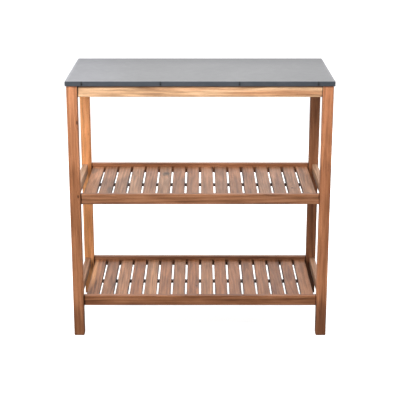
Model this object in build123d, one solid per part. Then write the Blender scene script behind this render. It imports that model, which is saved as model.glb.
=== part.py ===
from build123d import *
import os

# Potting bench: a folded metal sheet over a board, on an open frame of square legs with two slatted shelves.
# Millimetres. +X runs to the right along the long side, the front faces -Y, +Z is up.
# The origin is on the floor, under the middle of the top.

# Overall size
WIDTH = 800.0
DEPTH = 400.0
HEIGHT = 812.0

# Top: a thin sheet folded down over the four edges of a board
SHEET = 1.0
TOP_EDGE = 15.0
SHEET_BEND = 1.6
SHEET_CORNER = 2.4

# Legs
LEG = 32.0
LEG_SIDE_INSET = 3.8
LEG_FRONT_INSET = 1.5
LEG_EASE = 2.4
FOOT_CHAMFER = 1.5

# Aprons and shelf rails
RAIL = 18.0
APRON_HEIGHT = 34.0
RAIL_HEIGHT = 32.0
LONG_RAIL_RECESS = 7.0
SIDE_RAIL_RECESS = 3.0
RAIL_EASE = 2.2
RAIL_TOPS = {"mid": 462.0, "lower": 131.0}

# Slats run from front to back and sit in shallow pockets in the long rails
SLATS = 16
SLAT_WIDTH = 39.5
SLAT_THICK = 12.0
SLAT_PITCH = 45.3
SLAT_DROP = 11.3
SLAT_HOUSING = 4.0
SLAT_EASE = 1.6

# A flat bar under the middle of each shelf's slats
BAR_WIDTH = 20.0
BAR_THICK = 6.0
BAR_OFFSET = 7.0
BAR_PAST_SLAT_MIDDLE = 12.0
BAR_EASE = 0.8

# Bolts through the legs into the ends of the long rails, with a barrel nut in each rail
BOLT_R = 3.0
BOLT_HEAD_R = 5.0
BOLT_HEAD = 6.0
BOLT_SOCKET = 5.0
BOLT_SOCKET_DEPTH = 3.0
COUNTERBORE_R = 6.0
COUNTERBORE = 7.0
NUT_R = 4.0
NUT_LENGTH = 12.0
NUT_FROM_RAIL_END = 26.0
NUT_SLOT = 1.2
NUT_HOLE_SPARE = 1.0
BOLT_PAST_NUT = 2.0
BOLT_FROM_RAIL_FACE = 7.5

# Dowels between the legs and the side rails
DOWEL_R = 3.0
DOWEL_LENGTH = 32.0
DOWEL_SPREAD = 8.0

# Wood screws from below
SLAT_SCREW = (1.6, 3.2, 2.0, 15.0)
TOP_SCREW = (2.0, 4.0, 2.4, 29.0)
TOP_SCREW_BORE_R = 4.5
TOP_SCREW_BORE = 16.0
TOP_SCREW_X = 200.0

# Nails through the folded edge into the board
NAIL_R = 0.8
NAIL_HEAD_R = 1.9
NAIL_HEAD = 1.0
NAIL_LENGTH = 14.0
NAIL_DROP = 9.5
NAIL_COLUMNS = (-350.0, -117.0, 117.0, 350.0)
NAIL_ROWS = (-120.0, 120.0)

# Derived places
FRAME_TOP = HEIGHT - TOP_EDGE
LEG_OUTER_X = WIDTH / 2 - LEG_SIDE_INSET
LEG_OUTER_Y = DEPTH / 2 - LEG_FRONT_INSET
LEG_INNER_X = LEG_OUTER_X - LEG
LEG_INNER_Y = LEG_OUTER_Y - LEG
LONG_RAIL_Y = LEG_OUTER_Y - LONG_RAIL_RECESS - RAIL / 2
SIDE_RAIL_X = LEG_OUTER_X - SIDE_RAIL_RECESS - RAIL / 2
CLEAR_Y = LONG_RAIL_Y - RAIL / 2
SLAT_LENGTH = 2 * (CLEAR_Y + SLAT_HOUSING)
SLAT_XS = [(i - (SLATS - 1) / 2) * SLAT_PITCH for i in range(SLATS)]
BOLT_Y = LONG_RAIL_Y + RAIL / 2 - BOLT_FROM_RAIL_FACE
NUT_X = LEG_INNER_X - NUT_FROM_RAIL_END
BAR_END_X = SLAT_XS[-1] + BAR_PAST_SLAT_MIDDLE
LEVELS = {"apron": (FRAME_TOP - APRON_HEIGHT, FRAME_TOP)}
LEVELS.update({name: (top - RAIL_HEIGHT, top) for name, top in RAIL_TOPS.items()})
SIDES = {"left": -1, "right": 1}
FACES = {"front": -1, "back": 1}


def block(low, high):
    """A box from its lowest to its highest corner."""
    size = [b - a for a, b in zip(low, high)]
    return Pos(*low) * Box(*size, align=(Align.MIN,) * 3)


def eased(low, high, radius):
    """A board with all its edges rounded over."""
    board = block(low, high)
    return fillet(board.edges(), radius)


def rod(start, axis, radius, length):
    """A cylinder that starts at a point and runs along an axis."""
    return Plane(origin=start, z_dir=axis) * Cylinder(radius, length, align=(Align.CENTER, Align.CENTER, Align.MIN))


def cone(start, axis, wide, narrow, length):
    """A countersunk head, wide at its start."""
    return Plane(origin=start, z_dir=axis) * Cone(wide, narrow, length, align=(Align.CENTER, Align.CENTER, Align.MIN))


def wood_screw(start, size):
    """A countersunk screw that goes up from its head's face."""
    shank_r, head_r, head, length = size
    shank = rod(start, (0, 0, 1), shank_r, length)
    return shank + cone(start, (0, 0, 1), head_r, shank_r, head)


def without(body, tools):
    """The body with each tool that comes near it cut out."""
    box = body.bounding_box()
    for tool in tools:
        other = tool.bounding_box()
        apart = any(
            low > high
            for low, high in (
                (box.min.X, other.max.X),
                (box.min.Y, other.max.Y),
                (box.min.Z, other.max.Z),
                (other.min.X, box.max.X),
                (other.min.Y, box.max.Y),
                (other.min.Z, box.max.Z),
            )
        )
        if not apart:
            body = body - tool
    return body


def bolt_places():
    """Side, face and height of each bolt: one at each end of each long rail."""
    for low, high in LEVELS.values():
        for side in SIDES.values():
            for face in FACES.values():
                yield side, face, (low + high) / 2


def frame_bolt(side, face, z):
    """A socket-head bolt, with its head sunk in the leg's outer face."""
    seat_x = side * (LEG_OUTER_X - COUNTERBORE)
    inward = (-side, 0, 0)
    length = LEG_OUTER_X - COUNTERBORE - NUT_X + NUT_R + BOLT_PAST_NUT
    head = rod((seat_x, face * BOLT_Y, z), (side, 0, 0), BOLT_HEAD_R, BOLT_HEAD)
    socket_plane = Plane(origin=(seat_x + side * BOLT_HEAD, face * BOLT_Y, z), z_dir=inward)
    socket = extrude(socket_plane * RegularPolygon(BOLT_SOCKET / 2, 6, major_radius=False), BOLT_SOCKET_DEPTH)
    return rod((seat_x, face * BOLT_Y, z), inward, BOLT_R, length) + head - socket


def counterbore(side, face, z):
    """The recess for a bolt's head in a leg."""
    return rod((side * LEG_OUTER_X, face * BOLT_Y, z), (-side, 0, 0), COUNTERBORE_R, COUNTERBORE)


def barrel_nut(side, face, z):
    """A cross-drilled barrel with a screwdriver slot in its lower end."""
    base = (side * NUT_X, face * BOLT_Y, z - NUT_LENGTH / 2)
    slot = Pos(*base) * Box(2 * NUT_R, NUT_SLOT, 2 * NUT_SLOT)
    return rod(base, (0, 0, 1), NUT_R, NUT_LENGTH) - slot


def nut_hole(side, face, z, rail_low):
    """The hole for a barrel nut, drilled up from the rail's lower face."""
    depth = z + NUT_LENGTH / 2 + NUT_HOLE_SPARE - rail_low
    return rod((side * NUT_X, face * BOLT_Y, rail_low), (0, 0, 1), NUT_R, depth)


def side_dowels():
    """Two dowels at each end of each side rail."""
    for low, high in LEVELS.values():
        for side in SIDES.values():
            for face in FACES.values():
                for dz in (-DOWEL_SPREAD, DOWEL_SPREAD):
                    start_y = face * (LEG_INNER_Y + DOWEL_LENGTH / 2)
                    start = (side * SIDE_RAIL_X, start_y, (low + high) / 2 + dz)
                    yield rod(start, (0, -face, 0), DOWEL_R, DOWEL_LENGTH)


def edge_nails():
    """Nails along the folded edges: four at the front and back, two at each end."""
    z = HEIGHT - NAIL_DROP
    places = [((x, face * DEPTH / 2, z), (0, -face, 0)) for face in FACES.values() for x in NAIL_COLUMNS]
    places += [((side * WIDTH / 2, y, z), (-side, 0, 0)) for side in SIDES.values() for y in NAIL_ROWS]
    for start, inward in places:
        yield rod(start, inward, NAIL_R, NAIL_LENGTH) + cone(start, inward, NAIL_HEAD_R, NAIL_R, NAIL_HEAD)


def top_screw_places():
    """Where a screw goes up through an apron into the board."""
    for face in FACES.values():
        for side in SIDES.values():
            yield side * TOP_SCREW_X, face * LONG_RAIL_Y
    for side in SIDES.values():
        yield side * SIDE_RAIL_X, 0.0


def leg(side, face):
    """A square post with eased edges and a chamfered foot."""
    post = Box(LEG, LEG, FRAME_TOP, align=(Align.CENTER, Align.CENTER, Align.MIN))
    post = fillet(post.edges().filter_by(Axis.Z), LEG_EASE)
    post = chamfer(post.faces().sort_by(Axis.Z)[0].edges(), FOOT_CHAMFER)
    return Pos(side * (LEG_OUTER_X - LEG / 2), face * (LEG_OUTER_Y - LEG / 2), 0) * post


def long_rail(face, low, high):
    """A rail or apron between two legs, along the front or back."""
    y = face * LONG_RAIL_Y
    return eased((-LEG_INNER_X, y - RAIL / 2, low), (LEG_INNER_X, y + RAIL / 2, high), RAIL_EASE)


def side_rail(side, low, high):
    """A rail or apron between a front and a back leg."""
    x = side * SIDE_RAIL_X
    return eased((x - RAIL / 2, -LEG_INNER_Y, low), (x + RAIL / 2, LEG_INNER_Y, high), RAIL_EASE)


def slat(x, top):
    """One shelf slat with its four long edges eased."""
    low = (x - SLAT_WIDTH / 2, -SLAT_LENGTH / 2, top - SLAT_THICK)
    high = (x + SLAT_WIDTH / 2, SLAT_LENGTH / 2, top)
    board = block(low, high)
    return fillet(board.edges().filter_by(Axis.Y), SLAT_EASE)


def centre_bar(top):
    """The bar that ties a shelf's slats together, and ends under the outer ones."""
    low = (-BAR_END_X, BAR_OFFSET - BAR_WIDTH / 2, top - BAR_THICK)
    return eased(low, (BAR_END_X, BAR_OFFSET + BAR_WIDTH / 2, top), BAR_EASE)


def folded_sheet():
    """The metal skin: a flat top, four lips, and softly bent edges."""
    outer = block((-WIDTH / 2, -DEPTH / 2, FRAME_TOP), (WIDTH / 2, DEPTH / 2, HEIGHT))
    outer = fillet(outer.edges().filter_by(Axis.Z), SHEET_CORNER)
    outer = fillet(outer.faces().sort_by(Axis.Z)[-1].edges(), SHEET_BEND)
    return outer - board_blank()


def board_blank():
    """The board that fills the sheet."""
    x = WIDTH / 2 - SHEET
    y = DEPTH / 2 - SHEET
    board = block((-x, -y, FRAME_TOP), (x, y, HEIGHT - SHEET))
    board = fillet(board.edges().filter_by(Axis.Z), SHEET_CORNER - SHEET)
    return fillet(board.faces().sort_by(Axis.Z)[-1].edges(), SHEET_BEND - SHEET)


def shelf(name, nodes, screws):
    """Adds a shelf's slats and bar, and the screws that hold them."""
    slat_top = RAIL_TOPS[name] - SLAT_DROP
    under = slat_top - SLAT_THICK
    for i, x in enumerate(SLAT_XS, 1):
        nodes[f"{name}_slat_{i:02d}"] = slat(x, slat_top)
        screws.append(wood_screw((x, BAR_OFFSET, under - BAR_THICK), SLAT_SCREW))
    nodes[f"{name}_centre_bar"] = centre_bar(under)


def assembly():
    """Every node of the bench, by name."""
    bolts = [frame_bolt(*place) for place in bolt_places()]
    bores = [counterbore(*place) for place in bolt_places()]
    nuts = [barrel_nut(*place) - bolt for place, bolt in zip(bolt_places(), bolts)]
    dowels = list(side_dowels())
    nails = list(edge_nails())
    slat_screws = []
    top_start = FRAME_TOP - APRON_HEIGHT + TOP_SCREW_BORE
    top_screws = [wood_screw((x, y, top_start), TOP_SCREW) for x, y in top_screw_places()]
    top_bores = [
        rod((x, y, FRAME_TOP - APRON_HEIGHT), (0, 0, 1), TOP_SCREW_BORE_R, TOP_SCREW_BORE)
        for x, y in top_screw_places()
    ]

    nodes = {}
    for name in RAIL_TOPS:
        shelf(name, nodes, slat_screws)
    slats = [body for node, body in nodes.items() if "_slat_" in node]
    nodes = {node: without(body, slat_screws) for node, body in nodes.items()}

    for side_name, side in SIDES.items():
        for face_name, face in FACES.items():
            nodes[f"leg_{face_name}_{side_name}"] = without(leg(side, face), bores + bolts + dowels)
    for level, (low, high) in LEVELS.items():
        prefix = "apron" if level == "apron" else f"{level}_rail"
        holes = [nut_hole(side, face, z, low) for side, face, z in bolt_places() if low < z < high]
        for face_name, face in FACES.items():
            cuts = slats + holes + bolts + top_screws + top_bores
            nodes[f"{prefix}_{face_name}"] = without(long_rail(face, low, high), cuts)
        for side_name, side in SIDES.items():
            cuts = dowels + top_screws + top_bores
            nodes[f"{prefix}_{side_name}"] = without(side_rail(side, low, high), cuts)

    nodes["top_sheet"] = without(folded_sheet(), nails)
    nodes["top_board"] = without(board_blank(), nails + top_screws)
    nodes["top_edge_nails"] = Compound(children=nails)
    nodes["top_screws"] = Compound(children=top_screws)
    nodes["slat_screws"] = Compound(children=slat_screws)
    nodes["frame_bolts"] = Compound(children=bolts)
    nodes["barrel_nuts"] = Compound(children=nuts)
    nodes["side_dowels"] = Compound(children=dowels)
    return nodes


os.makedirs("parts", exist_ok=True)
for node_name, body in assembly().items():
    export_step(body, f"parts/{node_name}.step")
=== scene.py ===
import math
import random

import bmesh
import bpy
import numpy as np
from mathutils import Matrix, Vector, noise


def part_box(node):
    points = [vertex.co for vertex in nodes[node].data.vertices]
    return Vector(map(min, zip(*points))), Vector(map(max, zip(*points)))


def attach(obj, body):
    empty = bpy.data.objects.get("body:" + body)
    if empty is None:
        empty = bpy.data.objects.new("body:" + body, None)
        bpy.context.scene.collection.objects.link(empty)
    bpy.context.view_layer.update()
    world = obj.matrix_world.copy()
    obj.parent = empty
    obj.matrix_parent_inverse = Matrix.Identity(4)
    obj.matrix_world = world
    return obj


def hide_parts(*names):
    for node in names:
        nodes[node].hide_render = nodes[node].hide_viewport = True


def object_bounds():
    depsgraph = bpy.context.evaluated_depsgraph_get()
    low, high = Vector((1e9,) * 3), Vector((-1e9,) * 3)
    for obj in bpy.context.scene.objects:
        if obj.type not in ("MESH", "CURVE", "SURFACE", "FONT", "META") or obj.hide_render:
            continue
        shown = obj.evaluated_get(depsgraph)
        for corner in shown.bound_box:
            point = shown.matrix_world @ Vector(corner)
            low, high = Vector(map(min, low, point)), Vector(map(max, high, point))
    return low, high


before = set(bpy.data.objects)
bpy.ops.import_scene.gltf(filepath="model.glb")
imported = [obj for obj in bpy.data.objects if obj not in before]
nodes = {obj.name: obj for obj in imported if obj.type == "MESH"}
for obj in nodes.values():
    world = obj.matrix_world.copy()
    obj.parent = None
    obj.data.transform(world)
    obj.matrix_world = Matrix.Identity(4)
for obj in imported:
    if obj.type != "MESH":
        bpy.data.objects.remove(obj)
cad_low, cad_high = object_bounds()

# The camera stands in front of the bench and looks down on it. Metres, and degrees.
CAMERA_DISTANCE = 3.30
CAMERA_HEIGHT = 1.447
CAMERA_PITCH = 16.86
CAMERA_LENS = 102.1
SENSOR = 36.0

# Boards: rounded edges, mesh steps, and the most that a slat sags
LEG_EASE = 0.0026
RAIL_EASE = 0.0024
SLAT_EASE = 0.0018
BAR_EASE = 0.001
ARC_STEPS = 4
BORDER = 0.0012
LONG_STEP = 0.008
CROSS_STEP = 0.005
MAX_BOW = 0.0005

# Hand sanding: depth of the hollows and of the rubbed arrises, and how often they come along and across
SANDING = 0.00022
WORN_EDGE = 0.0007
HOLLOWS_ALONG = 9.0
HOLLOWS_ACROSS = 45.0
RUB_SCALE = 1.9
RUB_SHIFT = (7.0, 3.0, 1.0)
RUB_BASE = 0.35
RUB_GAIN = 1.6
ARRIS_TURN = 0.29

# Fixing holes
HEAD_CLEARANCE = 0.001
COUNTERBORE_DEPTH = 0.007
NUT_HOLE_DEPTH = 0.023
SCREW_BORE_RADIUS = 0.0045
SCREW_BORE_DEPTH = 0.016
HOLE_SIDES = 32
CUTTER_PROUD = 0.002
SHARP_DEGREES = 38.0

# Folded sheet: its mesh, its rounded lips, and the dimple and crease round each nail, darkened there partly
# as dirt and partly as painted shade
SHEET_WALL = 0.00096
SHEET_BEND = 0.0018
SHEET_STEP = 0.008
LIP_STEP = 0.0015
LIP_FOOT = 0.0009
LIP_CORNER = 0.0035
LIP_REACH = 0.002
LIP_BAND = 0.02
NAIL_LINES = (0.0, 0.0015, 0.003, 0.0045, 0.006, 0.009)
DIMPLE_RADIUS = 0.006
DIMPLE_DEPTH = 0.0004
DIMPLE_SQUASH = (1, 1, 0.55)
GRIME_AND_SHADE_RADIUS = 0.0050
CREASE_WIDTH = 0.0032

# The studio's light by direction. Each pair is where a step starts and ends, on the direction's Y or Z
BEHIND = (-0.25, 0.45)
BELOW_TOP = (0.80, 0.40)
ABOVE_FLOOR = (-0.30, -0.02)
HORIZON_FOOT = (-0.02, 0.0)
HORIZON_HEAD = (0.13, 0.09)
ROOM_STEP = (-0.2, 0.1)
ROOM_BELOW = 0.06
ROOM_ABOVE = 0.30
BACKDROP = 1.5

# Softboxes: place, aim, size, watts and colour
WHITE = (1.0, 1.0, 1.0)
WORKTOP_GAP = 0.85
SOFTBOXES = {
    "key": ((-0.14, -1.05, 1.28), (0.0, -0.15, 0.60), (1.9, 0.35), 19.5, (1.0, 0.985, 0.96)),
    "fill": ((-1.7, -2.0, 0.95), (0.0, 0.0, 0.55), (1.0, 1.2), 19.0, WHITE),
    "overhead": ((0.0, 0.3, 3.2), (0.0, 0.0, 0.0), (3.2, 3.2), 12.0, WHITE),
    "rear": ((1.3, 2.2, 1.1), (0.0, 0.0, 0.5), (1.4, 1.0), 28.0, WHITE),
    "worktop": ((0.0, 0.0, cad_high.z + WORKTOP_GAP), (0.0, 0.0, 0.0), (1.1, 0.7), 12.0, WHITE),
}

# The floor and the white surround
FLOOR_RADIUS = 60.0
FLOOR_SIDES = 96
FLOOR_GAP = 0.0002
FLOOR_GLOW = 0.81
DOME_RADIUS = 50.0
DOME_FINENESS = 4


# ---------------------------------------------------------------- shader helpers


def add(tree, kind, sockets=None, **settings):
    """A shader node. A value in sockets is another node's output, or a constant."""
    made = tree.nodes.new("ShaderNode" + kind)
    for name, value in settings.items():
        setattr(made, name, value)
    for name, value in (sockets or {}).items():
        if isinstance(value, bpy.types.NodeSocket):
            tree.links.new(value, made.inputs[name])
        else:
            made.inputs[name].default_value = value
    return made


def maths(tree, operation, a, b=0.0, c=0.0):
    """One sum. c is only used by MULTIPLY_ADD."""
    return add(tree, "Math", {0: a, 1: b, 2: c}, operation=operation).outputs[0]


def remap(tree, value, low, high, to_low=0.0, to_high=1.0):
    """A smooth step of a value from one range to another."""
    sockets = {"Value": value, "From Min": low, "From Max": high, "To Min": to_low, "To Max": to_high}
    return add(tree, "MapRange", sockets, interpolation_type="SMOOTHSTEP").outputs["Result"]


def mixed(tree, factor, a, b, blend="MIX"):
    """Two colours mixed or multiplied. Each may be a constant."""
    made = add(tree, "Mix", data_type="RGBA", blend_type=blend)
    for name, value in (("Factor_Float", factor), ("A_Color", a), ("B_Color", b)):
        socket = next(s for s in made.inputs if s.identifier == name)
        if isinstance(value, bpy.types.NodeSocket):
            tree.links.new(value, socket)
        else:
            socket.default_value = value
    return next(s for s in made.outputs if s.identifier == "Result_Color")


def ramp(tree, value, stops):
    """A colour ramp with its stops as (place, colour)."""
    made = add(tree, "ValToRGB", {"Fac": value})
    while len(made.color_ramp.elements) < len(stops):
        made.color_ramp.elements.new(0.5)
    for element, (place, colour) in zip(made.color_ramp.elements, stops):
        element.position = place
        element.color = (*colour, 1.0)
    return made.outputs["Color"]


def clouds(tree, vector, scale, detail=2.0, roughness=0.5):
    """Soft noise between 0 and 1."""
    sockets = {"Vector": vector, "Scale": scale, "Detail": detail, "Roughness": roughness}
    return add(tree, "TexNoise", sockets).outputs["Fac"]


def stretched(tree, vector, scale, place=(0.0, 0.0, 0.0), turn=(0.0, 0.0, 0.0)):
    """A vector scaled, turned and moved."""
    sockets = {"Vector": vector, "Scale": scale, "Location": place, "Rotation": turn}
    return add(tree, "Mapping", sockets).outputs[0]


def new_material(name):
    made = bpy.data.materials.new(name)
    made.use_nodes = True
    made.node_tree.nodes.clear()
    return made, made.node_tree


def summed(tree, values):
    """The sum of several values, or None for none."""
    total = None
    for value in values:
        total = value if total is None else maths(tree, "ADD", total, value)
    return total


def finish_surface(tree, sockets):
    surface = add(tree, "BsdfPrincipled", sockets)
    add(tree, "OutputMaterial", {"Surface": surface.outputs[0]})


def bumped(tree, height, distance, strength=1.0):
    return add(tree, "Bump", {"Height": height, "Distance": distance, "Strength": strength}).outputs["Normal"]


# ---------------------------------------------------------------- materials

# Mean colours of the woods, linear
TONES = {
    "heart": (0.430, 0.184, 0.088),
    "light": (0.520, 0.240, 0.120),
    "russet": (0.515, 0.216, 0.104),
    "amber": (0.800, 0.360, 0.150),
    "brown": (0.300, 0.129, 0.062),
    "tan": (0.375, 0.162, 0.080),
    "umber": (0.310, 0.124, 0.055),
    # The centre bars' wood, painted near black as shade under the slats
    "painted_shade_dark": (0.110, 0.045, 0.022),
    "straw": (0.515, 0.298, 0.162),
    "beech": (0.580, 0.380, 0.210),
}
# From dark late wood to the palest early wood: place in the grain, and shade of the mean colour
SHADES = (
    (0.20, (0.50, 0.44, 0.40)),
    (0.42, (0.85, 0.83, 0.80)),
    (0.58, (1.12, 1.14, 1.16)),
    (0.80, (1.42, 1.52, 1.62)),
)
# How much longer than wide the grain is drawn, and how far it may lean off the board's own line
LENGTHWISE = 0.12
MAX_LEAN = 0.12
PITH_AWAY = (0.035, 0.110)
PITH_ALONG = 9
# Annual rings: their spacing, and the spacing of a wave texture's rings at scale 1
RING_SPACING = 0.0085
WAVE_SPACING = 0.314
# Scales of the noises, from the drift of the rings to single pores, and how much each counts in the grain
DRIFT_SCALE = 9.0
BAND_SCALE = 42.0
STREAK_SCALE = 135.0
FIBRE_SCALE = 850.0
PORE_SCALE = 1700.0
RING_WEIGHT = 0.16
BAND_WEIGHT = 0.55
STREAK_WEIGHT = 0.60
FIBRE_WEIGHT = 0.22
# How far one board's mean colour may be from its wood's
LIFT = (0.93, 1.07)
WARMTH = 0.06
# Knots: how much longer than wide, how dark, and how far the rings bend round them
KNOT_LENGTH = 1.9
KNOT_DEPTH = 0.92
KNOT_BEND = 7.0
DARK_WOOD = (0.20, 0.16, 0.14)
PALE_WOOD = (1.5, 1.65, 1.8)
PORE_DEPTH = 0.40
WORN_PALENESS = 0.16
FRAY = 0.9


def shaded(colour, shade):
    """A colour times a shade, kept under full white."""
    return tuple(min(0.95, c * s) for c, s in zip(colour, shade))


def pith_place(rng, middle, axis):
    """Where the tree's centre lies beside a board, so that the rings cross the board at an angle."""
    angle = rng.uniform(0, 2 * math.pi)
    away = rng.uniform(*PITH_AWAY)
    cross = [middle[(axis + 1) % 3], middle[(axis + 2) % 3]]
    along = rng.uniform(-PITH_ALONG, PITH_ALONG)
    return (away * math.cos(angle) - cross[0], away * math.sin(angle) - cross[1], along)


def blob(tree, own, centre, radii):
    """Distance from a point, in units of an ellipsoid's radii."""
    scale = [1.0 / r for r in radii]
    place = [-c / r for c, r in zip(centre, radii)]
    near = stretched(tree, own, scale, place)
    return add(tree, "VectorMath", {0: near}, operation="LENGTH").outputs["Value"]


def wood(name, axis, middle, tone, seed, knots=(), patches=(), contrast=1.0, tint=(1.0, 1.0, 1.0)):
    """Solid wood: rings round the pith, streaks, fibres and pores that all run along one axis.

    A knot is (centre, radius). A patch of other wood or a stain is (centre, radii, shade).
    """
    rng = random.Random(seed)
    made, tree = new_material(name)
    own = add(tree, "TexCoord").outputs["Object"]
    split = add(tree, "SeparateXYZ", {"Vector": own}).outputs
    sockets = {0: split[(axis + 1) % 3], 1: split[(axis + 2) % 3], 2: split[axis]}
    turned = add(tree, "CombineXYZ", sockets).outputs[0]
    tilt = (rng.uniform(-MAX_LEAN, MAX_LEAN), rng.uniform(-MAX_LEAN, MAX_LEAN), 0.0)
    grain = stretched(tree, turned, (1.0, 1.0, LENGTHWISE), pith_place(rng, middle, axis), tilt)

    cores, halos = [], []
    for point, radius in knots:
        radii = [radius] * 3
        radii[axis] *= KNOT_LENGTH
        gap = blob(tree, own, point, radii)
        cores.append(remap(tree, gap, 1.05, 0.55))
        halos.append(remap(tree, gap, 4.0, 0.6))
    knot_core, knot_push = summed(tree, cores), summed(tree, halos)

    drift = clouds(tree, grain, DRIFT_SCALE)
    sideways = add(tree, "VectorMath", {0: drift, 1: (0.5, 0.5, 0.5)}, operation="SUBTRACT").outputs[0]
    sideways = add(tree, "VectorMath", {0: sideways, 1: (0.05, 0.04, 0.0)}, operation="MULTIPLY").outputs[0]
    bent = add(tree, "VectorMath", {0: grain, 1: sideways}, operation="ADD").outputs[0]
    waves = {
        "Vector": bent,
        "Scale": WAVE_SPACING / RING_SPACING,
        "Distortion": 2.2,
        "Detail": 2.0,
        "Detail Scale": 0.8,
    }
    if knots:
        waves["Phase Offset"] = maths(tree, "MULTIPLY", knot_push, KNOT_BEND)
    ringed = add(tree, "TexWave", waves, wave_type="RINGS", rings_direction="Z", wave_profile="SAW")
    rings = ringed.outputs["Fac"]
    bands = clouds(tree, stretched(tree, bent, (1.0, 1.0, 1.2)), BAND_SCALE, 2.0, 0.55)
    streaks = clouds(tree, stretched(tree, bent, (1.0, 1.0, 0.5)), STREAK_SCALE)
    fibres = clouds(tree, stretched(tree, grain, (1.0, 1.0, 0.3)), FIBRE_SCALE, 3.0, 0.6)
    pores = clouds(tree, stretched(tree, grain, (1.0, 1.0, 0.55)), PORE_SCALE, 1.0)

    level = None
    total = 0.0
    layers = ((rings, RING_WEIGHT), (bands, BAND_WEIGHT), (streaks, STREAK_WEIGHT), (fibres, FIBRE_WEIGHT))
    for value, weight in layers:
        weight *= contrast
        total += weight / 2
        level = maths(tree, "MULTIPLY_ADD", value, weight, 0.0 if level is None else level)
    level = maths(tree, "ADD", level, 0.5 - total)
    mean = shaded(TONES[tone], tint)
    lift = rng.uniform(*LIFT)
    warmth = rng.uniform(-WARMTH, WARMTH)
    mean = (mean[0] * lift, mean[1] * lift * (1 + warmth), mean[2] * lift * (1 + 2 * warmth))
    colour = ramp(tree, level, [(place, shaded(mean, shade)) for place, shade in SHADES])
    dark = (*shaded(mean, DARK_WOOD), 1.0)
    for centre, radii, shade in patches:
        frayed = maths(tree, "MULTIPLY_ADD", streaks, FRAY, maths(tree, "MULTIPLY_ADD", bands, FRAY, -FRAY))
        gap = maths(tree, "ADD", blob(tree, own, centre, radii), frayed)
        colour = mixed(tree, remap(tree, gap, 1.25, 0.55), colour, (*shade, 1.0), "MULTIPLY")
    open_pores = remap(tree, pores, 0.60, 0.72)
    colour = mixed(tree, maths(tree, "MULTIPLY", open_pores, PORE_DEPTH), colour, dark)
    if knots:
        colour = mixed(tree, maths(tree, "MULTIPLY", knot_core, KNOT_DEPTH), colour, dark)
    worn = add(tree, "Attribute", attribute_name="worn").outputs["Fac"]
    pale = (*shaded(mean, PALE_WOOD), 1.0)
    colour = mixed(tree, maths(tree, "MULTIPLY", worn, WORN_PALENESS), colour, pale)

    height = maths(tree, "MULTIPLY_ADD", rings, 0.35, maths(tree, "MULTIPLY", fibres, 0.5))
    height = maths(tree, "MULTIPLY_ADD", open_pores, -0.45, height)
    roughness = remap(tree, fibres, 0.3, 0.7, 0.38, 0.54)
    finish_surface(tree, {
        "Base Color": colour,
        "Roughness": maths(tree, "MULTIPLY_ADD", open_pores, 0.2, roughness),
        "Normal": bumped(tree, height, 0.0005, 0.6),
    })
    return made


# The sheet's colours from its darkest to its lightest blotches, on its top and on its lips: the top painted
# lighter and the lips darker and bluer, as painted reflection
TOP_METAL = ((0.35, (0.175, 0.177, 0.181)), (0.80, (0.250, 0.251, 0.256)))
LIP_METAL = ((0.35, (0.080, 0.090, 0.107)), (0.80, (0.114, 0.124, 0.143)))
# Painted reflection on the top, lighter at the left end and darker at the back, and a painted highlight along
# the bend at the edge
LEFT_END = ((-0.16, -0.38), (1.20, 1.20, 1.25, 1.0))
BACK_BAND = ((0.04, 0.19), (0.80, 0.80, 0.81, 1.0))
BEND_HIGHLIGHT = ((-0.009, -0.004), (1.28, 1.28, 1.30, 1.0))
# From lip to top, by how far a face looks up
LIP_TO_TOP = (0.70, 0.97)
# Dirt and painted shade round the nails
GRIME_AND_SHADE = (0.035, 0.033, 0.032, 1.0)
GRIME_AND_SHADE_DEPTH = 0.85


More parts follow.
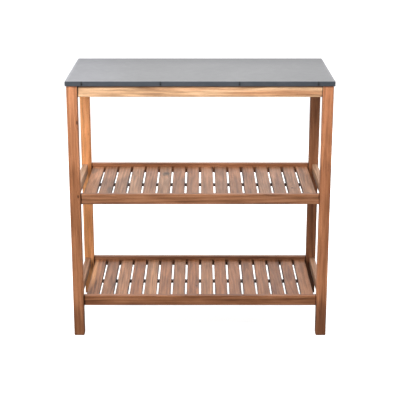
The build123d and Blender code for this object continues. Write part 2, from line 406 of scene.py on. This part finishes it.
def zinc():
    """Dull zinc-coated sheet with a soft spangle, scuffs and smears. Painted reflection makes the lips darker
    and bluer than the top, and the top lighter at its left end and darker at the back, with a painted
    highlight along the bends. Round the nails it is darkened with dirt and painted shade.
    """
    made, tree = new_material("zinc_sheet")
    own = add(tree, "TexCoord").outputs["Object"]
    spangle = add(tree, "TexVoronoi", {"Vector": own, "Scale": 70.0}, feature="SMOOTH_F1").outputs["Color"]
    grains = add(tree, "RGBToBW", {"Color": spangle}).outputs[0]
    patches = clouds(tree, own, 7.0, 3.0, 0.6)
    scuffs = clouds(tree, stretched(tree, own, (6.0, 60.0, 30.0)), 9.0, 4.0, 0.65)
    fine = clouds(tree, stretched(tree, own, (1.0, 12.0, 1.0)), 260.0, 2.0)
    level = maths(tree, "MULTIPLY_ADD", patches, 0.7, maths(tree, "MULTIPLY", grains, 0.18))
    level = maths(tree, "MULTIPLY_ADD", scuffs, 0.3, level)
    roughness = maths(tree, "MULTIPLY_ADD", scuffs, 0.16, maths(tree, "MULTIPLY_ADD", patches, 0.10, 0.24))
    up = add(tree, "SeparateXYZ", {"Vector": add(tree, "TexCoord").outputs["Normal"]}).outputs["Z"]
    top = ramp(tree, level, TOP_METAL)
    x, y, _ = add(tree, "SeparateXYZ", {"Vector": own}).outputs
    # Painted reflection: lighter at the left end, darker at the back
    top = mixed(tree, remap(tree, x, *LEFT_END[0]), top, LEFT_END[1], "MULTIPLY")
    top = mixed(tree, remap(tree, y, *BACK_BAND[0]), top, BACK_BAND[1], "MULTIPLY")
    lip = ramp(tree, level, LIP_METAL)
    past_x = maths(tree, "SUBTRACT", maths(tree, "ABSOLUTE", x), cad_high.x)
    past_y = maths(tree, "SUBTRACT", maths(tree, "ABSOLUTE", y), cad_high.y)
    # Painted highlight along the bend at the sheet's edge
    bend_highlight = remap(tree, maths(tree, "MAXIMUM", past_x, past_y), *BEND_HIGHLIGHT[0])
    top = mixed(tree, bend_highlight, top, BEND_HIGHLIGHT[1], "MULTIPLY")
    # The lips' darker, bluer colour against the top's is painted reflection
    colour = mixed(tree, remap(tree, up, *LIP_TO_TOP), lip, top)
    # Dirt and painted shade round each nail, in its dimple and along its crease
    grime_and_shade = add(tree, "Attribute", attribute_name="grime_and_shade").outputs["Fac"]
    colour = mixed(tree, maths(tree, "MULTIPLY", grime_and_shade, GRIME_AND_SHADE_DEPTH), colour, GRIME_AND_SHADE)
    height = maths(tree, "MULTIPLY_ADD", fine, 0.3, maths(tree, "MULTIPLY", scuffs, 0.7))
    finish_surface(tree, {
        "Base Color": colour,
        "Metallic": 0.5,
        "Specular IOR Level": 0.25,
        "Specular Tint": (0.55, 0.55, 0.57, 1.0),
        "Roughness": roughness,
        "Normal": bumped(tree, height, 0.0003, 0.35),
    })
    return made


def steel(name, colour, roughness):
    """Plated fixings, a little blotched."""
    made, tree = new_material(name)
    own = add(tree, "TexCoord").outputs["Object"]
    blotches = clouds(tree, own, 420.0, 3.0, 0.6)
    shade = tuple(c * 0.55 for c in colour)
    finish_surface(tree, {
        "Base Color": ramp(tree, blotches, [(0.35, shade), (0.6, colour)]),
        "Metallic": 1.0,
        "Roughness": remap(tree, blotches, 0.3, 0.7, roughness + 0.12, roughness - 0.08),
        "Normal": bumped(tree, blotches, 0.0001, 0.4),
    })
    return made


def floor_paint():
    """A plain pale studio floor."""
    made, tree = new_material("studio_floor")
    own = add(tree, "TexCoord").outputs["Object"]
    faint = clouds(tree, own, 1.3, 2.0)
    finish_surface(tree, {
        "Base Color": ramp(tree, faint, [(0.3, (0.80, 0.80, 0.80)), (0.7, (0.82, 0.82, 0.82))]),
        "Roughness": 0.9,
        "Specular IOR Level": 0.1,
        "Emission Color": (1.0, 1.0, 1.0, 1.0),
        "Emission Strength": FLOOR_GLOW,
    })
    return made


# ---------------------------------------------------------------- board meshes


def cut_places(half, radius, step, extra=()):
    """Where the mesh lines cross one axis: fine round the two arcs, even between them."""
    arc = [half - radius + radius * math.tan(math.radians(45) * k / ARC_STEPS) for k in range(ARC_STEPS + 1)]
    flat = half - radius - BORDER
    count = max(1, round(2 * flat / step))
    places = [-flat + 2 * flat * k / count for k in range(count + 1)]
    places += arc + [-a for a in arc] + [e for e in extra if abs(e) < flat]
    return sorted(set(round(p, 7) for p in places))


def lattice(low, high, places, skip=()):
    """Points and quads of a box's surface on a lattice of lines. skip leaves out sides, as (axis, end)."""
    middle = (low + high) / 2
    ends = [len(p) - 1 for p in places]
    index, points, quads = {}, [], []

    def point(key):
        if key not in index:
            index[key] = len(points)
            points.append([places[a][key[a]] for a in range(3)])
        return index[key]

    for axis in range(3):
        u, v = (axis + 1) % 3, (axis + 2) % 3
        for end in (0, 1):
            if (axis, end) in skip:
                continue
            key = [0, 0, 0]
            key[axis] = ends[axis] * end
            for i in range(ends[u]):
                for j in range(ends[v]):
                    corners = []
                    for di, dj in ((0, 0), (1, 0), (1, 1), (0, 1)):
                        key[u], key[v] = i + di, j + dj
                        corners.append(point(tuple(key)))
                    quads.append(corners if end else corners[::-1])
    return np.array(points), quads, middle


def rounded(points, half, radius, square_below=False):
    """Pulls a box's lattice onto rounded edges. Returns the points and their outward normals."""
    inner = np.clip(points, -(half - radius), half - radius)
    if square_below:
        inner[:, 2] = np.clip(points[:, 2], -half[2], half[2] - radius)
        inner[:, 2] = np.minimum(inner[:, 2], points[:, 2])
    away = points - inner
    length = np.maximum(np.linalg.norm(away, axis=1, keepdims=True), 1e-12)
    normal = away / length
    return inner + normal * radius, normal


def make_object(name, points, quads, material):
    """A smooth mesh object."""
    mesh = bpy.data.meshes.new(name)
    mesh.from_pydata([tuple(p) for p in points], [], quads)
    mesh.polygons.foreach_set("use_smooth", [True] * len(mesh.polygons))
    mesh.materials.append(material)
    made = bpy.data.objects.new(name, mesh)
    bpy.context.scene.collection.objects.link(made)
    return made


def store(made, name, values):
    """Keeps one number for each point of a mesh, for its material to read."""
    made.data.attributes.new(name, "FLOAT", "POINT").data.foreach_set("value", values.astype(np.float32))


def sanded(points, normal, axis, rng):
    """Gentle hollows along a board's faces, and uneven wear along its arrises. Everything goes inwards."""
    shift = Vector([rng.uniform(-50, 50) for _ in range(3)])
    scale = np.full(3, HOLLOWS_ACROSS)
    scale[axis] = HOLLOWS_ALONG
    worn = np.zeros(len(points))
    moved = points.copy()
    for i, (p, n) in enumerate(zip(points, normal)):
        at = Vector(p * scale) + shift
        edge = min(1.0, (1.0 - max(abs(n))) / ARRIS_TURN)
        hollow = 0.5 + 0.5 * noise.noise(at)
        rub = max(0.0, noise.noise(at * RUB_SCALE + Vector(RUB_SHIFT)))
        worn[i] = edge * min(1.0, RUB_BASE + RUB_GAIN * rub)
        moved[i] -= n * (SANDING * hollow + WORN_EDGE * edge * rub)
    return moved, worn


def bowed(points, low, high, axis, depth):
    """Lets a board sag a little between its ends."""
    along = (points[:, axis] - low[axis]) / (high[axis] - low[axis])
    points[:, 2] -= depth * 4 * along * (1 - along)
    return points


def islands(node):
    """The boxes of a node's separate solids, as (lowest, highest) corners."""
    mesh = bmesh.new()
    mesh.from_mesh(nodes[node].data)
    bmesh.ops.remove_doubles(mesh, verts=mesh.verts, dist=1e-6)
    left, found = set(mesh.verts), []
    while left:
        todo = [left.pop()]
        group = []
        while todo:
            vert = todo.pop()
            group.append(np.array(vert.co))
            for edge in vert.link_edges:
                other = edge.other_vert(vert)
                if other in left:
                    left.remove(other)
                    todo.append(other)
        found.append((np.min(group, axis=0), np.max(group, axis=0)))
    mesh.free()
    return sorted(found, key=lambda b: tuple(np.round(b[0], 5)))


def drill(name, holes):
    """One cutter for several round holes, each (mouth, inward direction, radius, depth)."""
    mesh = bmesh.new()
    for mouth, inward, radius, depth in holes:
        inward = Vector(inward)
        start = Vector(mouth) - inward * CUTTER_PROUD
        length = depth + CUTTER_PROUD
        turn = inward.to_track_quat("Z", "Y").to_matrix().to_4x4()
        turn.translation = start + inward * length / 2
        round_hole = {"segments": HOLE_SIDES, "radius1": radius, "radius2": radius, "depth": length}
        bmesh.ops.create_cone(mesh, cap_ends=True, matrix=turn, **round_hole)
    data = bpy.data.meshes.new(name)
    mesh.to_mesh(data)
    mesh.free()
    made = bpy.data.objects.new(name, data)
    bpy.context.scene.collection.objects.link(made)
    return made


def bored(board, holes):
    """The board with its holes cut, and the cutter gone."""
    cutter = drill(board.name + "_cutter", holes)
    modifier = board.modifiers.new("holes", "BOOLEAN")
    modifier.operation = "DIFFERENCE"
    modifier.solver = "EXACT"
    modifier.object = cutter
    graph = bpy.context.evaluated_depsgraph_get()
    cut = bpy.data.meshes.new_from_object(board.evaluated_get(graph), depsgraph=graph)
    board.modifiers.clear()
    board.data = cut
    bpy.data.objects.remove(cutter)
    sharpen(board.data)


def sharpen(mesh):
    """Smooth faces, with the edges that really are sharp kept sharp."""
    work = bmesh.new()
    work.from_mesh(mesh)
    for edge in work.edges:
        if len(edge.link_faces) == 2:
            edge.smooth = edge.calc_face_angle(0.0) < math.radians(SHARP_DEGREES)
    work.to_mesh(mesh)
    work.free()


def board(
    node, axis, ease, tone, seed, slot, knots=(), patches=(), holes=(), contrast=1.0, bow=0.0,
    tint=(1.0, 1.0, 1.0),
):
    """A sanded wooden board in the place of a CAD node, with its grain along one axis."""
    low, high = (np.array(corner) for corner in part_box(node))
    half = (high - low) / 2
    steps = [CROSS_STEP] * 3
    steps[axis] = LONG_STEP
    places = [cut_places(half[a], ease, steps[a]) for a in range(3)]
    points, quads, middle = lattice(low, high, places)
    points, normal = rounded(points, half, ease)
    points, worn = sanded(points, normal, axis, random.Random(seed))
    points = bowed(points + middle, low, high, axis, bow) if bow else points + middle
    material = wood(node + "_wood", axis, middle, tone, seed, knots, patches, contrast, tint)
    made = make_object(node + "_board", points, quads, material)
    store(made, "worn", worn)
    if holes:
        bored(made, holes)
    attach(made, "root")
    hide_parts(node)
    return made


# ---------------------------------------------------------------- the bench


# Each leg's wood and seed
LEG_WOODS = {
    "leg_front_left": ("heart", 11),
    "leg_front_right": ("russet", 12),
    "leg_back_left": ("amber", 13),
    "leg_back_right": ("umber", 14),
}
# Painted shade on the feet, darker on the right, and painted shadow under the sheet on the legs' tops
FOOT_SHADE_REACH = 0.110
LEFT_FOOT_SHADE = (0.66, 0.64, 0.62)
RIGHT_FOOT_SHADE = (0.43, 0.41, 0.40)
LEG_TOP_SHADOW_REACH = 0.005
LEG_TOP_SHADOW = (0.55, 0.48, 0.44)
# Bands of painted light and shade across the legs: height, reach and shade
LEG_LIGHT_BANDS = {
    "leg_front_left": ((0.455, 0.100, (0.77, 0.75, 0.73)),),
    "leg_front_right": (
        (0.485, 0.095, (0.71, 0.68, 0.66)),
        (0.800, 0.060, (0.84, 0.82, 0.80)),
    ),
    "leg_back_left": ((0.620, 0.080, (1.20, 1.22, 1.28)),),
}
# Knots on the legs' front faces: place in from the leg's right side, height and radius
LEG_KNOTS = {"leg_front_left": ((0.0025, 0.687, 0.0042), (0.006, 0.457, 0.0034))}
# A dark patch high on the back right leg
DARK_PATCH_HEIGHT = 0.722
DARK_PATCH_RADII = (0.016, 0.03, 0.022)
DARK_PATCH_SHADE = (0.35, 0.33, 0.35)
# Patches go right through a board across its grain
THROUGH = 9.0


def level_patch(z, reach, shade):
    """A stretch of painted light and shade right across an upright board, lighter or darker."""
    return (0.0, 0.0, z), (THROUGH, THROUGH, reach), shade


def legs():
    heads = islands("frame_bolts")
    for node, (tone, seed) in LEG_WOODS.items():
        low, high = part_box(node)
        side = 1.0 if low.x > 0 else -1.0
        outer = high.x if side > 0 else low.x
        holes = []
        for bolt_low, bolt_high in heads:
            y, z = (bolt_low[1] + bolt_high[1]) / 2, (bolt_low[2] + bolt_high[2]) / 2
            if bolt_low[0] * side > 0 and low.y < y < high.y:
                radius = (bolt_high[1] - bolt_low[1]) / 2 + HEAD_CLEARANCE
                holes.append(((outer, y, z), (-side, 0, 0), radius, COUNTERBORE_DEPTH))
        knots = [((high.x - inset, low.y, z), radius) for inset, z, radius in LEG_KNOTS.get(node, ())]
        # Painted shade on the foot, and painted shadow under the sheet at the leg's top
        foot_shade = LEFT_FOOT_SHADE if side < 0 else RIGHT_FOOT_SHADE
        patches = [level_patch(0.0, FOOT_SHADE_REACH, foot_shade), level_patch(high.z, LEG_TOP_SHADOW_REACH, LEG_TOP_SHADOW)]
        # Bands of painted light and shade across the leg
        patches += [level_patch(*band) for band in LEG_LIGHT_BANDS.get(node, ())]
        if node == "leg_back_right":
            centre = ((low.x + high.x) / 2, low.y, DARK_PATCH_HEIGHT)
            patches.append((centre, DARK_PATCH_RADII, DARK_PATCH_SHADE))
        board(node, 2, LEG_EASE, tone, seed, "acacia_frame", knots, patches, holes)


# The long boards' woods and how strong their grain is
LONG_WOODS = {
    "apron_front": ("straw", 1.6),
    "apron_back": ("light", 1.6),
    "mid_rail_front": ("brown", 1.5),
    "mid_rail_back": ("brown", 1.5),
    "lower_rail_front": ("brown", 1.5),
    "lower_rail_back": ("brown", 1.5),
}
# Painted shadow where a long board's ends meet the legs
JOINT_LEFT = 0.0046
JOINT_RIGHT = 0.0032
JOINT_SHADOW = (0.26, 0.24, 0.23)
# The front apron's painted shadow right under the sheet, and its two redder streaks: (x, z), radii along and
# up, shade
UNDER_SHEET_SHADOW = (0.0065, (0.50, 0.42, 0.36))
APRON_STREAKS = (
    ((0.24, 0.776), (0.18, 0.009), (0.95, 0.80, 0.72)),
    ((0.02, 0.787), (0.16, 0.006), (1.00, 0.90, 0.86)),
)


def joint_shadows(low, high):
    """Painted shadow where the ends of a board meet the legs."""
    return [
        ((low.x, 0.0, 0.0), (JOINT_LEFT, THROUGH, THROUGH), JOINT_SHADOW),
        ((high.x, 0.0, 0.0), (JOINT_RIGHT, THROUGH, THROUGH), JOINT_SHADOW),
    ]


def screw_bores(low, high, screws):
    """The bores for the top's screws in an apron."""
    holes = []
    for screw_low, screw_high in screws:
        x, y = (screw_low[0] + screw_high[0]) / 2, (screw_low[1] + screw_high[1]) / 2
        if low.x < x < high.x and low.y < y < high.y and low.z < screw_low[2] < high.z:
            holes.append(((x, y, low.z), (0, 0, 1), SCREW_BORE_RADIUS, SCREW_BORE_DEPTH))
    return holes


def long_boards():
    nuts = islands("barrel_nuts")
    screws = islands("top_screws")
    for seed, (node, (tone, contrast)) in enumerate(LONG_WOODS.items(), 21):
        low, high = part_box(node)
        holes = []
        for nut_low, nut_high in nuts:
            x, y, z = (nut_low + nut_high) / 2
            if low.y < y < high.y and low.z < z < high.z:
                radius = (nut_high[0] - nut_low[0]) / 2
                holes.append(((x, y, low.z), (0, 0, 1), radius, NUT_HOLE_DEPTH))
        holes += screw_bores(low, high, screws)
        # Painted shadow at both ends, where the board meets the legs
        patches = joint_shadows(low, high)
        if node == "apron_front":
            # Painted shadow of the sheet's lip on the apron
            patches.append(level_patch(high.z, *UNDER_SHEET_SHADOW))
            for (x, z), (along, up), shade in APRON_STREAKS:
                patches.append(((x, low.y, z), (along, THROUGH, up), shade))
        board(node, 0, RAIL_EASE, tone, seed, "acacia_frame", (), patches, holes, contrast)


# Painted sheen: the side rails are lighter and greyer than the legs, the upper ones most
SIDE_SHEEN_TINTS = {
    "apron_left": (1.00, 1.00, 1.00),
    "apron_right": (1.00, 1.00, 1.00),
    "mid_rail_left": (1.22, 1.70, 2.20),
    "mid_rail_right": (1.22, 1.70, 2.20),
    "lower_rail_left": (1.05, 1.30, 1.55),
    "lower_rail_right": (1.05, 1.30, 1.55),
}


def side_boards():
    screws = islands("top_screws")
    for seed, (node, tint) in enumerate(SIDE_SHEEN_TINTS.items(), 41):
        low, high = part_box(node)
        holes = screw_bores(low, high, screws)
        # The tint paints sheen on the side rails
        board(node, 1, RAIL_EASE, "heart", seed, "acacia_frame", holes=holes, tint=tint)


# The slats' woods from left to right
SLAT_TONES = {
    "mid": ("heart", "heart", "light", "light", "heart", "light", "heart", "heart",
            "heart", "tan", "heart", "tan", "heart", "heart", "heart", "light"),
    "lower": ("heart", "heart", "light", "heart", "light", "heart", "light", "heart",
              "light", "heart", "tan", "heart", "heart", "tan", "tan", "heart"),
}
# Painted sheen makes the upper slats a little greyer, and painted shade makes the lower ones a little darker
SHELF_SHEEN_AND_SHADE = {"mid": (1.00, 1.07, 1.15), "lower": (0.92, 0.91, 0.88)}
# Both get painted shade towards the front
FRONT_SHADE_REACH = 0.23
FRONT_PAINTED_SHADES = {"mid": (0.76, 0.78, 0.79), "lower": (0.86, 0.86, 0.87)}
# Painted shade on their sides, darker towards the bottom
SIDE_SHADE_RADII = (0.0035, THROUGH, 0.016)
SIDE_PAINTED_SHADE = (0.30, 0.26, 0.23)
SLAT_CONTRAST = 1.25
STAIN_DEPTH = 0.02
# Knots on the slats: place across from the slat's middle, place along it, radius
SLAT_KNOTS = {
    "mid_slat_06": ((0.004, 0.086, 0.0052),),
    "mid_slat_15": ((-0.0045, -0.080, 0.0040),),
    "lower_slat_08": ((0.0125, -0.072, 0.0036),),
}
# Stains and sapwood: place across, place along, half width, half length, shade
SLAT_PATCHES = {
    "mid_slat_01": (
        (0.000, 0.000, 0.060, 0.600, (1.22, 1.28, 1.30)),
        (-0.010, 0.127, 0.014, 0.036, (0.60, 0.63, 0.66)),
    ),
    "mid_slat_02": ((0.015, -0.110, 0.012, 0.056, (0.45, 0.50, 0.54)),),
    "mid_slat_06": (
        (0.002, 0.084, 0.013, 0.024, (0.46, 0.53, 0.56)),
        (0.006, -0.010, 0.008, 0.060, (0.84, 0.86, 0.88)),
    ),
    "mid_slat_14": ((-0.001, 0.000, 0.010, 0.120, (0.86, 0.79, 0.82)),),
    "mid_slat_16": (
        (-0.006, -0.145, 0.010, 0.020, (0.70, 0.73, 0.76)),
        (-0.006, 0.100, 0.008, 0.050, (0.84, 0.80, 0.78)),
    ),
    "lower_slat_01": (
        (-0.013, 0.060, 0.011, 0.150, (1.70, 1.95, 1.90)),
        (0.002, -0.060, 0.005, 0.045, (0.58, 0.60, 0.64)),
        (-0.008, -0.130, 0.006, 0.045, (0.62, 0.64, 0.68)),
    ),
    "lower_slat_02": ((0.010, -0.100, 0.006, 0.060, (0.78, 0.76, 0.78)),),
    "lower_slat_05": ((0.004, 0.000, 0.006, 0.220, (1.26, 1.28, 1.22)),),
    "lower_slat_08": ((0.013, -0.050, 0.006, 0.060, (0.72, 0.70, 0.70)),),
    "lower_slat_14": ((-0.012, -0.100, 0.008, 0.060, (0.78, 0.73, 0.78)),),
    "lower_slat_15": ((0.004, 0.040, 0.007, 0.080, (0.74, 0.69, 0.71)),),
    "lower_slat_16": ((-0.002, 0.080, 0.009, 0.050, (0.85, 0.80, 0.78)),),
}


def slat_marks(node, shelf):
    """A slat's knots and stains, and its painted shade towards the front and on its sides."""
    low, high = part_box(node)
    centre = (low.x + high.x) / 2
    knots = [((centre + x, y, high.z), size) for x, y, size in SLAT_KNOTS.get(node, ())]
    patches = []
    for x, y, wide, long, shade in SLAT_PATCHES.get(node, ()):
        patches.append(((centre + x, y, high.z), (wide, long, STAIN_DEPTH), shade))
    # Painted shade towards the front
    patches.append(((0.0, low.y, 0.0), (THROUGH, FRONT_SHADE_REACH, THROUGH), FRONT_PAINTED_SHADES[shelf]))
    # Painted shade on both sides, darker towards the bottom
    patches += [((x, 0.0, low.z), SIDE_SHADE_RADII, SIDE_PAINTED_SHADE) for x in (low.x, high.x)]
    return knots, patches


def shelves():
    seed = 100
    for shelf, tones in SLAT_TONES.items():
        rng = random.Random(shelf)
        for i, tone in enumerate(tones, 1):
            seed += 1
            node = f"{shelf}_slat_{i:02d}"
            knots, patches = slat_marks(node, shelf)
            # The shelf's tint is painted sheen on the upper slats and painted shade on the lower ones
            look = {"contrast": SLAT_CONTRAST, "bow": rng.uniform(0, MAX_BOW), "tint": SHELF_SHEEN_AND_SHADE[shelf]}
            board(node, 1, SLAT_EASE, tone, seed, "acacia_slats", knots, patches, **look)
        # The centre bars' wood is painted near black as shade
        board(f"{shelf}_centre_bar", 0, BAR_EASE, "painted_shade_dark", seed + 200, "acacia_frame")


def sheet_top():
    """The folded sheet: rounded bends, lips with rounded corners, and a dimple round each nail."""
    low, high = (np.array(corner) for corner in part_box("top_sheet"))
    half = (high - low) / 2
    middle = (low + high) / 2
    nails = []
    for nail_low, nail_high in islands("top_edge_nails"):
        head = (nail_low + nail_high) / 2
        in_long_lip = nail_low[1] < low[1] + LIP_REACH or nail_high[1] > high[1] - LIP_REACH
        across = 1 if in_long_lip else 0
        head[across] = math.copysign(half[across], head[across])
        nails.append(head)
    places = []
    for a in (0, 1):
        in_lip = [n for n in nails if abs(n[1 - a] - middle[1 - a]) > half[1 - a] - LIP_BAND]
        centres = sorted({round(n[a] - middle[a], 4) for n in in_lip})
        extra = [c + side * d for c in centres for d in NAIL_LINES for side in (-1, 1)]
        places.append(cut_places(half[a], SHEET_BEND, SHEET_STEP, extra))
    above = [p for p in cut_places(half[2], SHEET_BEND, LIP_STEP) if p >= -half[2] + SHEET_BEND]
    places.append([-half[2], -half[2] + LIP_FOOT] + above)
    points, quads, middle = lattice(low, high, places, skip=((2, 0),))
    points, normal = rounded(points, half, SHEET_BEND, square_below=True)

    # Dirt and painted shade round each nail and along the crease above it
    grime_and_shade = np.zeros(len(points))
    for i, (p, n) in enumerate(zip(points, normal)):
        corner = math.hypot(half[0] - abs(p[0]), half[1] - abs(p[1]))
        if corner < LIP_CORNER and p[2] < half[2] - SHEET_BEND:
            lift = LIP_CORNER - math.sqrt(LIP_CORNER**2 - (LIP_CORNER - corner) ** 2)
            share = (p[2] + half[2]) / (2 * half[2] - SHEET_BEND)
            points[i, 2] += lift * (1 - share)
        for nail in nails:
            away = p + middle - nail
            gap = np.linalg.norm(away * DIMPLE_SQUASH)
            if gap < DIMPLE_RADIUS and abs(n[2]) < 0.5:
                points[i] -= n * DIMPLE_DEPTH * (1 - (gap / DIMPLE_RADIUS) ** 2) ** 2
            along = min(1.0, math.hypot(away[0], away[1]) / CREASE_WIDTH)
            if abs(n[2]) < 0.9 and away[2] > 0.0:
                grime_and_shade[i] = max(grime_and_shade[i], 1.0 - along)
            grime_and_shade[i] = max(grime_and_shade[i], 1.0 - gap / GRIME_AND_SHADE_RADIUS)

    made = make_object("top_sheet_folded", points + middle, quads, zinc())
    store(made, "grime_and_shade", grime_and_shade)
    thick = made.modifiers.new("thickness", "SOLIDIFY")
    thick.thickness = SHEET_WALL
    thick.offset = -1.0
    thick.use_even_offset = True
    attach(made, "root")
    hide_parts("top_sheet")


def paint(node, material):
    """Gives a CAD node that stays in view its material."""
    nodes[node].data.materials.clear()
    nodes[node].data.materials.append(material)


def fixings():
    plated = steel("plated_steel", (0.62, 0.61, 0.58), 0.34)
    black = steel("dark_nail", (0.055, 0.055, 0.06), 0.5)
    for node in ("frame_bolts", "barrel_nuts", "slat_screws", "top_screws"):
        paint(node, plated)
    paint("top_edge_nails", black)


def hidden_wood():
    """The board in the sheet, seen from below, and the dowels."""
    for node, axis, seed in (("top_board", 0, 401), ("side_dowels", 1, 402)):
        low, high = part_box(node)
        middle = np.array((low + high) / 2)
        paint(node, wood(node + "_wood", axis, middle, "beech", seed))


# ---------------------------------------------------------------- studio


def studio_floor():
    """A wide floor. It bounces no light back on to the bench."""
    mesh = bmesh.new()
    bmesh.ops.create_circle(mesh, cap_ends=True, segments=FLOOR_SIDES, radius=FLOOR_RADIUS)
    data = bpy.data.meshes.new("floor")
    mesh.to_mesh(data)
    mesh.free()
    floor = bpy.data.objects.new("floor", data)
    floor.location.z = cad_low.z - FLOOR_GAP
    floor.visible_diffuse = False
    floor.visible_glossy = False
    data.materials.append(floor_paint())
    bpy.context.scene.collection.objects.link(floor)


def studio_dome():
    """A plain white surround. Only the camera sees it: the light comes from the lamps and the world."""
    made, tree = new_material("studio_surround")
    glow = add(tree, "Emission", {"Color": (1.0, 1.0, 1.0, 1.0), "Strength": 1.0})
    add(tree, "OutputMaterial", {"Surface": glow.outputs[0]})
    mesh = bmesh.new()
    bmesh.ops.create_icosphere(mesh, subdivisions=DOME_FINENESS, radius=DOME_RADIUS)
    data = bpy.data.meshes.new("surround")
    mesh.to_mesh(data)
    mesh.free()
    dome = bpy.data.objects.new("surround", data)
    for ray in ("diffuse", "glossy", "transmission", "volume_scatter", "shadow"):
        setattr(dome, "visible_" + ray, False)
    data.materials.append(made)
    bpy.context.scene.collection.objects.link(dome)


def softbox(name, place, aim, size, power, colour):
    """A rectangular lamp that points at a place. Neither the camera nor a gloss sees it."""
    light = bpy.data.lights.new(name, "AREA")
    light.shape = "RECTANGLE"
    light.size, light.size_y = size
    light.energy = power
    light.color = colour
    made = bpy.data.objects.new(name, light)
    made.location = place
    made.rotation_euler = (Vector(aim) - Vector(place)).to_track_quat("-Z", "Y").to_euler()
    made.visible_camera = False
    made.visible_glossy = False
    bpy.context.scene.collection.objects.link(made)


def surroundings():
    """A white backdrop behind the bench and a band of white at the horizon, in a dimmer studio."""
    world = bpy.data.worlds.new("studio")
    bpy.context.scene.world = world
    world.use_nodes = True
    tree = world.node_tree
    tree.nodes.clear()
    direction = add(tree, "TexCoord").outputs["Generated"]
    _, y, z = add(tree, "SeparateXYZ", {"Vector": direction}).outputs
    backdrop = maths(tree, "MULTIPLY", remap(tree, y, *BEHIND), remap(tree, z, *BELOW_TOP))
    backdrop = maths(tree, "MULTIPLY", backdrop, remap(tree, z, *ABOVE_FLOOR))
    horizon = maths(tree, "MULTIPLY", remap(tree, z, *HORIZON_FOOT), remap(tree, z, *HORIZON_HEAD))
    room = remap(tree, z, *ROOM_STEP, ROOM_BELOW, ROOM_ABOVE)
    strength = maths(tree, "MAXIMUM", horizon, room)
    strength = maths(tree, "MAXIMUM", maths(tree, "MULTIPLY", backdrop, BACKDROP), strength)
    background = add(tree, "Background", {"Color": (1.0, 1.0, 1.0, 1.0), "Strength": strength})
    add(tree, "OutputWorld", {"Surface": background.outputs[0]})


def lighting():
    surroundings()
    for name, settings in SOFTBOXES.items():
        softbox(name, *settings)
    bpy.context.scene.view_settings.view_transform = "Standard"


def camera():
    lens = bpy.data.cameras.new("camera")
    lens.lens = CAMERA_LENS
    lens.sensor_width = SENSOR
    made = bpy.data.objects.new("camera", lens)
    made.location = (0.0, cad_low.y - CAMERA_DISTANCE, CAMERA_HEIGHT)
    made.rotation_euler = (math.radians(90.0 - CAMERA_PITCH), 0.0, 0.0)
    bpy.context.scene.collection.objects.link(made)
    bpy.context.scene.camera = made


camera()
legs()
long_boards()
side_boards()
shelves()
sheet_top()
fixings()
hidden_wood()
studio_floor()
studio_dome()
lighting()
